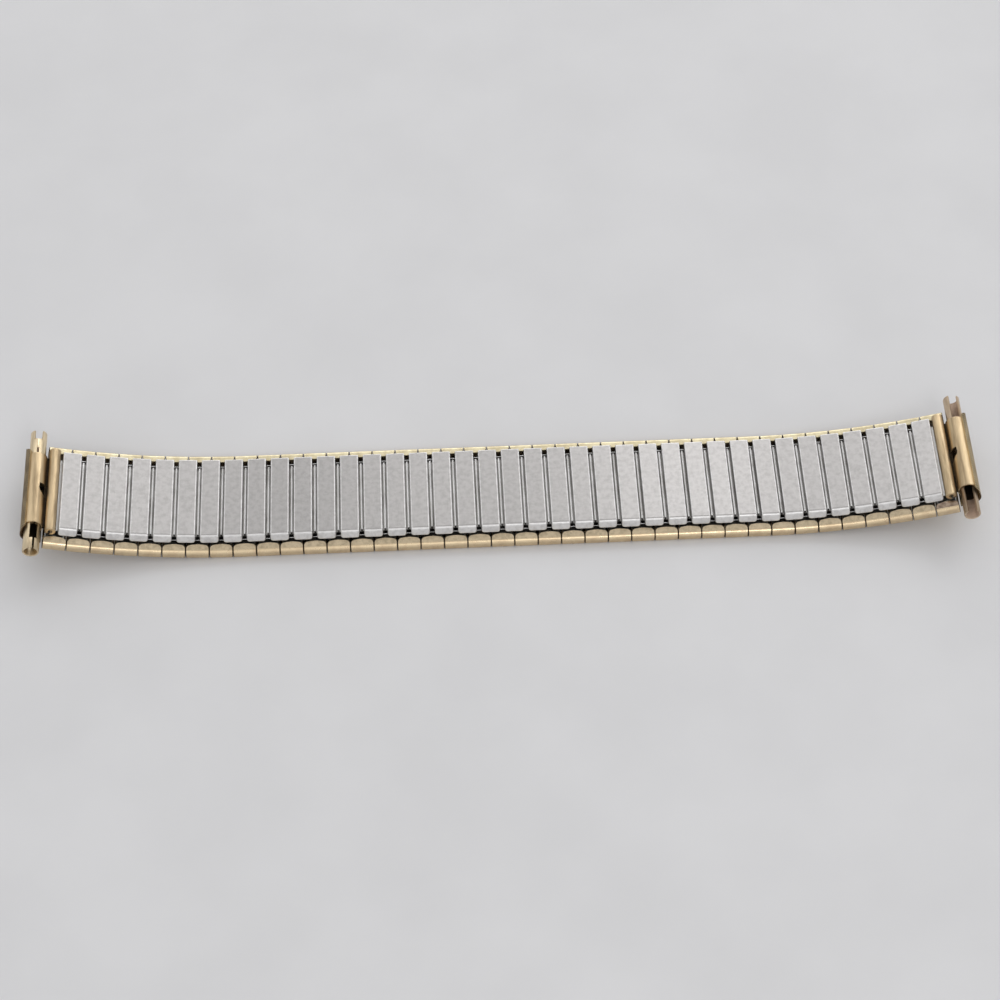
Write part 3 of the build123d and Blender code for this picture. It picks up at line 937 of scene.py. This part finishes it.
def hinge_roll_mesh():
    """The small roll, crimped at both mouths, with two slots for the bows' legs."""
    near = [(-y, mid, sheet) for y, mid, sheet in BAR_CRIMP]
    rings = []
    for y, mid, sheet in near + list(reversed(BAR_CRIMP)):
        outline = folded_outline(arc_run(BAR_X, BAR_Z, mid, *BAR_ARC, BAR_STEPS), sheet)
        rings.append([(p.x, y, p.y) for p in outline])
    (a, b), (low, high) = BAR_SLOT_ACROSS, BAR_SLOT
    slot = [Vector(v) for v in ((a, BAR_SLOT_LOW), (b, BAR_SLOT_LOW), (b, BAR_Z), (a, BAR_Z))]
    slots = [drawn_along("slot", slot, stops) for stops in ((low, high), (-high, -low))]
    return cut(mesh_from("hinge_roll", rings), slots, SHELL_EASE)


def tube_roll_mesh():
    """The large roll round the tubes, with the notch in its edge."""
    outline = folded_outline(arc_run(SHELL_X, SHELL_Z, ROLL_MID, *ROLL_ARC, ROLL_STEPS), ROLL_SHEET)
    stops = [-SHELL_HALF, -SHELL_INNER, SHELL_INNER, SHELL_HALF]
    notch = mesh_from("notch", [[(x, y, z) for x, y in NOTCH_OUTLINE] for z in NOTCH_HEIGHTS])
    return cut(drawn_along("tube_roll", outline, stops), [notch], SHELL_EASE)


strap_outline = folded_outline(level_run(STRAP_FROM, STRAP_TO, STRAP_HEIGHT), STRAP_SHEET)
strap_mesh = drawn_along("hinge_strap", strap_outline, [-SHELL_HALF, SHELL_HALF])
shell_pattern = joined("end_shell", [hinge_roll_mesh(), strap_mesh, tube_roll_mesh()])
shell_gold = satin_metal(
    "rolled_gold_plate",
    colour=(0.68, 0.53, 0.33),
    worn=(0.36, 0.27, 0.165),
    rough=(0.34, 0.54),
    grain=(2500, 350, 2500),
    depth=0.45,
    patch=1100,
    streak=0.10,
)
painted_shade_dark = satin_metal(
    "painted_shade_dark",
    colour=(0.055, 0.04, 0.025),
    worn=(0.03, 0.022, 0.015),
    rough=(0.55, 0.75),
    grain=EVEN_GRAIN,
    depth=0.3,
    patch=900,
)
shell_pattern.materials.append(shell_gold)
# Painted shade: the strap deep in the groove between the two rolls is coloured nearly black.
finish_where(
    shell_pattern, painted_shade_dark, lambda c, n: GROOVE_FROM < c.x < GROOVE_TO and c.z < GROOVE_TOP
)
for side in ("right", "left"):
    shell = seated(shell_pattern, "end_shell_%s" % side, gold_seats[-1], side)
    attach(shell, "%s_end_housing" % side)
    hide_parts("%s_end_housing" % side)

# End covers, the gold face of each end seen from outside the wrist: a plate that lies
# under the rolled shell and wraps up round its outer edge, where it is cut with fine
# ribs across. Its upper corners are cut to a point.
COVER_MID = 1.68
COVER_OUT, COVER_IN = 0.105, 0.115
COVER_END = 7.90
PLATE_FROM = 1.95
PLATE_STEP, PLATE_STEPS = 0.25, 5
PLATE_HEIGHT = 0.12
COVER_STEPS = 26
COVER_TOP_DEG = 46
POINT_LENGTH = 0.8
POINT_DEG = 44
RIB_PITCH = 0.46
RIB_DEPTH = 0.08
RIB_FROM_DEG = -12
RIB_FADE_DEG = 10
RIB_STOPS = 10
POINT_FACING = 0.42


def cover_ring(y):
    """The cover's outline at this place along its length."""
    tip = COVER_END - abs(y)
    top = COVER_TOP_DEG - max(0.0, POINT_LENGTH - tip) / POINT_LENGTH * POINT_DEG
    wave = 0.5 - 0.5 * math.cos(2 * math.pi * y / RIB_PITCH)
    run = []
    for i in range(PLATE_STEPS + 1):
        run.append((Vector((PLATE_FROM + PLATE_STEP * i, PLATE_HEIGHT)), Vector((1, 0))))
    run += arc_run(SHELL_X, SHELL_Z, COVER_MID, -90, top, COVER_STEPS)
    upper, under = [], []
    for p, d in run:
        out = Vector((d.y, -d.x))
        angle = math.degrees(math.atan2(p.y - SHELL_Z, p.x - SHELL_X))
        ribbed = min(1.0, max(0.0, (angle - RIB_FROM_DEG) / RIB_FADE_DEG))
        upper.append(p + out * (COVER_OUT - RIB_DEPTH * wave * ribbed))
        under.append(p - out * COVER_IN)
    return [(p.x, y, p.y) for p in upper + under[::-1]]


rib_step = RIB_PITCH / RIB_STOPS
rib_count = int(2 * COVER_END / rib_step)
rib_stops = [-COVER_END + rib_step * i for i in range(rib_count)] + [COVER_END]
cover_pattern = mesh_from("end_cover", [cover_ring(y) for y in rib_stops])
# The left cover's gold is worn, and dark as painted shade. The right cover gets a paler copy as
# painted light, where more light falls.
worn_shaded_cover_plate = satin_metal(
    "worn_shaded_cover_finish",
    colour=(0.56, 0.45, 0.28),
    worn=(0.24, 0.19, 0.12),
    rough=(0.34, 0.54),
    grain=(2500, 1500, 2500),
    depth=0.45,
    patch=1100,
    streak=0.5,
)
lit_right_cover_plate = satin_metal(
    "painted_light_cover_plate",
    colour=(0.86, 0.71, 0.46),
    worn=(0.46, 0.37, 0.23),
    rough=(0.32, 0.50),
    grain=(2500, 1500, 2500),
    depth=0.45,
    patch=1100,
    streak=0.3,
)
cover_pattern.materials.append(worn_shaded_cover_plate)
# The cut faces at the cover's pointed ends get the same nearly black gold.
finish_where(
    cover_pattern, dark_edge_gold, lambda c, n: abs(n.y) > POINT_FACING and c.x > SHELL_X
)
for side in ("right", "left"):
    cover = seated(cover_pattern, "end_cover_%s" % side, gold_seats[-1], side)
    # Painted light: the right cover gets the paler gold.
    if side == "right":
        cover.data.materials[0] = lit_right_cover_plate
    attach(cover, "%s_end_housing" % side)
    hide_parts("%s_end_housing" % side)

# End tubes, two in each shell, that slide apart to fit the watch's lugs. Each is sheet
# rolled round a spring bar with an open seam. The far ones have a notch open at the tip,
# the near ones a long window next to the shell. Brass, plated thin and worn brown.
TUBE_MID = 1.10
TUBE_SHEET = 0.29
TUBE_STEPS = 44
TUBE_FROM, TUBE_TO = 4.50, 11.00
TUBE_SOFT_FROM, TUBE_SOFT_TO = 4.54, 10.94
TUBE_SOFT = 0.03
OPENING_WIDTH = 1.15
OPENING_STEP = 0.01
FAR_NOTCH = 9.30
NEAR_WINDOW = (6.50, 9.20)
SHADE_END = 7.65
INSIDE_FACING = -0.3
ALL_BROWN = 11.1
BROWN_SHEEN = 0.3
TUBE_GRAIN = (3000, 350, 3000)


def tube_mesh(name, hand, seam, seam_turn):
    """A tube with a seam this wide, and with its notch or window over the seam."""
    if hand > 0:
        low, high = FAR_NOTCH, TUBE_TO + OPENING_STEP
        inner = [low - OPENING_STEP, low + OPENING_STEP]
    else:
        low, high = NEAR_WINDOW
        inner = [low - OPENING_STEP, low + OPENING_STEP, SHADE_END]
        inner += [high - OPENING_STEP, high + OPENING_STEP]
    rings = []
    for y in [TUBE_FROM, TUBE_SOFT_FROM] + inner + [TUBE_SOFT_TO, TUBE_TO]:
        width = max(seam, OPENING_WIDTH) if low < y < high else seam
        soft = TUBE_SOFT if y in (TUBE_FROM, TUBE_TO) else 0.0
        gap = math.degrees(math.asin(width / 2 / TUBE_MID))
        run = arc_run(0, 0, TUBE_MID, seam_turn + gap, seam_turn + 360 - gap, TUBE_STEPS)
        outline = folded_outline(run, TUBE_SHEET - soft * 2)
        rings.append([(SHELL_X + p.x, hand * y, SHELL_Z + p.y) for p in outline])
    return mesh_from(name, rings)


def inside_to(limit):
    """A test for the faces inside a tube, up to this far from the band's middle."""

    def fits(c, n):
        towards = (c.x - SHELL_X) * n.x + (c.z - SHELL_Z) * n.z
        return abs(c.y) < limit and towards < INSIDE_FACING

    return fits


tube_brass = satin_metal(
    "worn_brass_tube",
    colour=(0.86, 0.72, 0.49),
    worn=(0.50, 0.39, 0.25),
    rough=(0.30, 0.48),
    grain=TUBE_GRAIN,
    depth=0.35,
    patch=1100,
    streak=0.12,
)
browned_brass = satin_metal(
    "browned_brass_tube",
    colour=(0.68, 0.54, 0.39),
    worn=(0.42, 0.32, 0.22),
    rough=(0.34, 0.52),
    grain=TUBE_GRAIN,
    depth=0.35,
    patch=1100,
    streak=0.12,
)
brown_brass = satin_metal(
    "brown_tube_inside",
    colour=(0.56, 0.42, 0.315),
    worn=(0.40, 0.295, 0.22),
    rough=(0.55, 0.75),
    grain=(3000, 500, 3000),
    depth=0.35,
    patch=700,
)
brown_shader = brown_brass.node_tree.nodes["Principled BSDF"]
brown_shader.inputs["Metallic"].default_value = BROWN_SHEEN
# Each tube's seam has a width and an angle. The last two values are how far from the
# band's middle the tube's inside is brown, and how far it is coloured nearly black as painted shade
# from the shell.
TUBES = (
    ("right", "far", 1, 1.26, 70, ALL_BROWN, 0),
    ("right", "near", -1, 1.26, 82, ALL_BROWN, SHADE_END),
    ("left", "far", 1, 0.30, 85, FAR_NOTCH, 0),
    ("left", "near", -1, 0.30, 100, 0, NEAR_WINDOW[1]),
)
for side, which, hand, seam, seam_turn, brown_to, dark_to in TUBES:
    pattern = tube_mesh("end_tube_%s" % which, hand, seam, seam_turn)
    pattern.materials.append(browned_brass if side == "right" else tube_brass)
    finish_where(pattern, brown_brass, inside_to(brown_to))
    # Painted shade: inside each near tube, next to the shell, the faces are coloured nearly black.
    if which == "near":
        finish_where(pattern, painted_shade_dark, inside_to(dark_to))
    tube = seated(pattern, "end_tube_%s_%s" % (side, which), gold_seats[-1], side)
    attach(tube, "%s_%s_tube" % (side, which))
    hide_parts("%s_%s_tube" % (side, which))

# End springs, one in each shell between the two tubes, that push the tubes out into the
# lugs. A plain coil of round spring wire, drawn in two halves.
COIL_MID = 1.10
COIL_WIRE = 0.10
COIL_REACH = 4.34
COIL_TURNS = 2.5
COIL_STEPS = 18
COIL_SIDES = 8
COIL_SHARP_DEG = 60


def coil_mesh(name, hand):
    """Half of the coil, from the middle of the shell to one tube."""
    count = int(COIL_TURNS * COIL_STEPS)
    rings = []
    for i in range(count + 1):
        a = 2 * math.pi * i / COIL_STEPS
        out = Vector((math.cos(a), 0, math.sin(a)))
        along = Vector((SHELL_X, hand * COIL_REACH * i / count, SHELL_Z))
        middle = out * COIL_MID + along
        ring = []
        for j in range(COIL_SIDES):
            b = 2 * math.pi * j / COIL_SIDES
            skin = out * math.cos(b) + Vector((0, math.sin(b), 0))
            ring.append(middle + skin * COIL_WIRE)
        rings.append(ring)
    return outward(mesh_from(name, rings), COIL_SHARP_DEG)


# Painted shade: the coil's wire is coloured nearly black, where it shows in the shade of the
# shell's notch.
shaded_coil_metal = satin_metal(
    "painted_shade_coil_wire",
    colour=(0.15, 0.14, 0.13),
    worn=(0.09, 0.08, 0.07),
    rough=(0.30, 0.50),
    grain=EVEN_GRAIN,
    depth=0.2,
    patch=900,
)
for side in ("right", "left"):
    for which, hand in (("far", 1), ("near", -1)):
        pattern = coil_mesh("end_spring_%s" % which, hand)
        pattern.materials.append(shaded_coil_metal)
        coil = seated(pattern, "end_spring_%s_%s" % (side, which), gold_seats[-1], side)
        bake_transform(coil)
        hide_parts("%s_end_spring" % side)

# The pale table that the band lies on. It is painted matt and a little mottled, and
# keeps the band's soft shadow.
TABLE_HALF = 1.2
TABLE_ROUGHNESS = 0.6
MOTTLE_SCALE, MOTTLE_DETAIL = 45, 4
MOTTLE_FROM, MOTTLE_TO = 0.35, 0.65
MOTTLE_DARK = (0.700, 0.698, 0.705, 1)
MOTTLE_PALE = (0.733, 0.731, 0.738, 1)
table_corners = [(-1, -1), (1, -1), (1, 1), (-1, 1)]
table_mesh = bpy.data.meshes.new("pale_table")
table_mesh.from_pydata(
    [(x * TABLE_HALF, y * TABLE_HALF, 0) for x, y in table_corners], [], [(0, 1, 2, 3)]
)
table = bpy.data.objects.new("pale_table", table_mesh)
bpy.context.scene.collection.objects.link(table)
paint = bpy.data.materials.new("pale_table_paint")
paint.use_nodes = True
paint_nodes, paint_links = paint.node_tree.nodes, paint.node_tree.links
paint_shader = paint_nodes["Principled BSDF"]
paint_shader.inputs["Roughness"].default_value = TABLE_ROUGHNESS
paint_place = paint_nodes.new("ShaderNodeTexCoord")
paint_cloud = paint_nodes.new("ShaderNodeTexNoise")
paint_cloud.inputs["Scale"].default_value = MOTTLE_SCALE
paint_cloud.inputs["Detail"].default_value = MOTTLE_DETAIL
paint_links.new(paint_place.outputs["Object"], paint_cloud.inputs["Vector"])
paint_tone = paint_nodes.new("ShaderNodeValToRGB")
paint_tone.color_ramp.elements[0].position = MOTTLE_FROM
paint_tone.color_ramp.elements[0].color = MOTTLE_DARK
paint_tone.color_ramp.elements[1].position = MOTTLE_TO
paint_tone.color_ramp.elements[1].color = MOTTLE_PALE
paint_links.new(paint_cloud.outputs["Fac"], paint_tone.inputs["Fac"])
paint_links.new(paint_tone.outputs["Color"], paint_shader.inputs["Base Color"])
table_mesh.materials.append(paint)

# Soft light from three windows on the far side of the table, and a small lamp on the
# near side that draws the bright line along the folded flaps. The pale room round them is
# a little dimmer at both sides and overhead. Each light has a place, a width and a power.
LIGHTS = (
    ("far_window", (0.10, 1.56, 0.90), 1.0, 4.5),
    ("far_left_window", (-0.912, 1.086, 1.108), 0.7, 0.9),
    ("far_right_window", (0.912, 1.086, 1.108), 0.7, 3.8),
    ("near_lamp", (0.20, -0.62, 0.60), 0.22, 0.85),
)
ROOM_COLOUR = (0.99, 0.99, 1.0, 1)
ROOM_LEVEL = 0.90
SIDES_DIMMER = 0.50
TOP_DIMMER = 0.25
for name, spot, size, power in LIGHTS:
    lamp = bpy.data.lights.new(name, "AREA")
    lamp.shape = "SQUARE"
    lamp.size = size
    lamp.energy = power
    holder = bpy.data.objects.new(name, lamp)
    holder.location = spot
    holder.rotation_mode = "QUATERNION"
    holder.rotation_quaternion = (-Vector(spot)).to_track_quat("-Z", "Y")
    bpy.context.scene.collection.objects.link(holder)
room = bpy.data.worlds.new("pale_room")
bpy.context.scene.world = room
room.use_nodes = True
room_nodes, room_links = room.node_tree.nodes, room.node_tree.links
glow = room_nodes["Background"]
glow.inputs["Color"].default_value = ROOM_COLOUR
way = room_nodes.new("ShaderNodeTexCoord")
split = room_nodes.new("ShaderNodeSeparateXYZ")
room_links.new(way.outputs["Generated"], split.inputs["Vector"])


def room_sum(operation, *values):
    """A sum on the light's direction. Each value is a number or what another sum gives."""
    step = room_nodes.new("ShaderNodeMath")
    step.operation = operation
    for socket, value in zip(step.inputs, values):
        if isinstance(value, float):
            socket.default_value = value
        else:
            room_links.new(value, socket)
    return step.outputs["Value"]


across = room_sum("MULTIPLY", split.outputs["X"], split.outputs["X"])
over = room_sum("MULTIPLY", split.outputs["Z"], split.outputs["Z"])
sides = room_sum("MULTIPLY_ADD", across, -SIDES_DIMMER, ROOM_LEVEL)
level = room_sum("MULTIPLY_ADD", over, -TOP_DIMMER, sides)
room_links.new(level, glow.inputs["Strength"])
bpy.context.scene.view_settings.view_transform = "Standard"
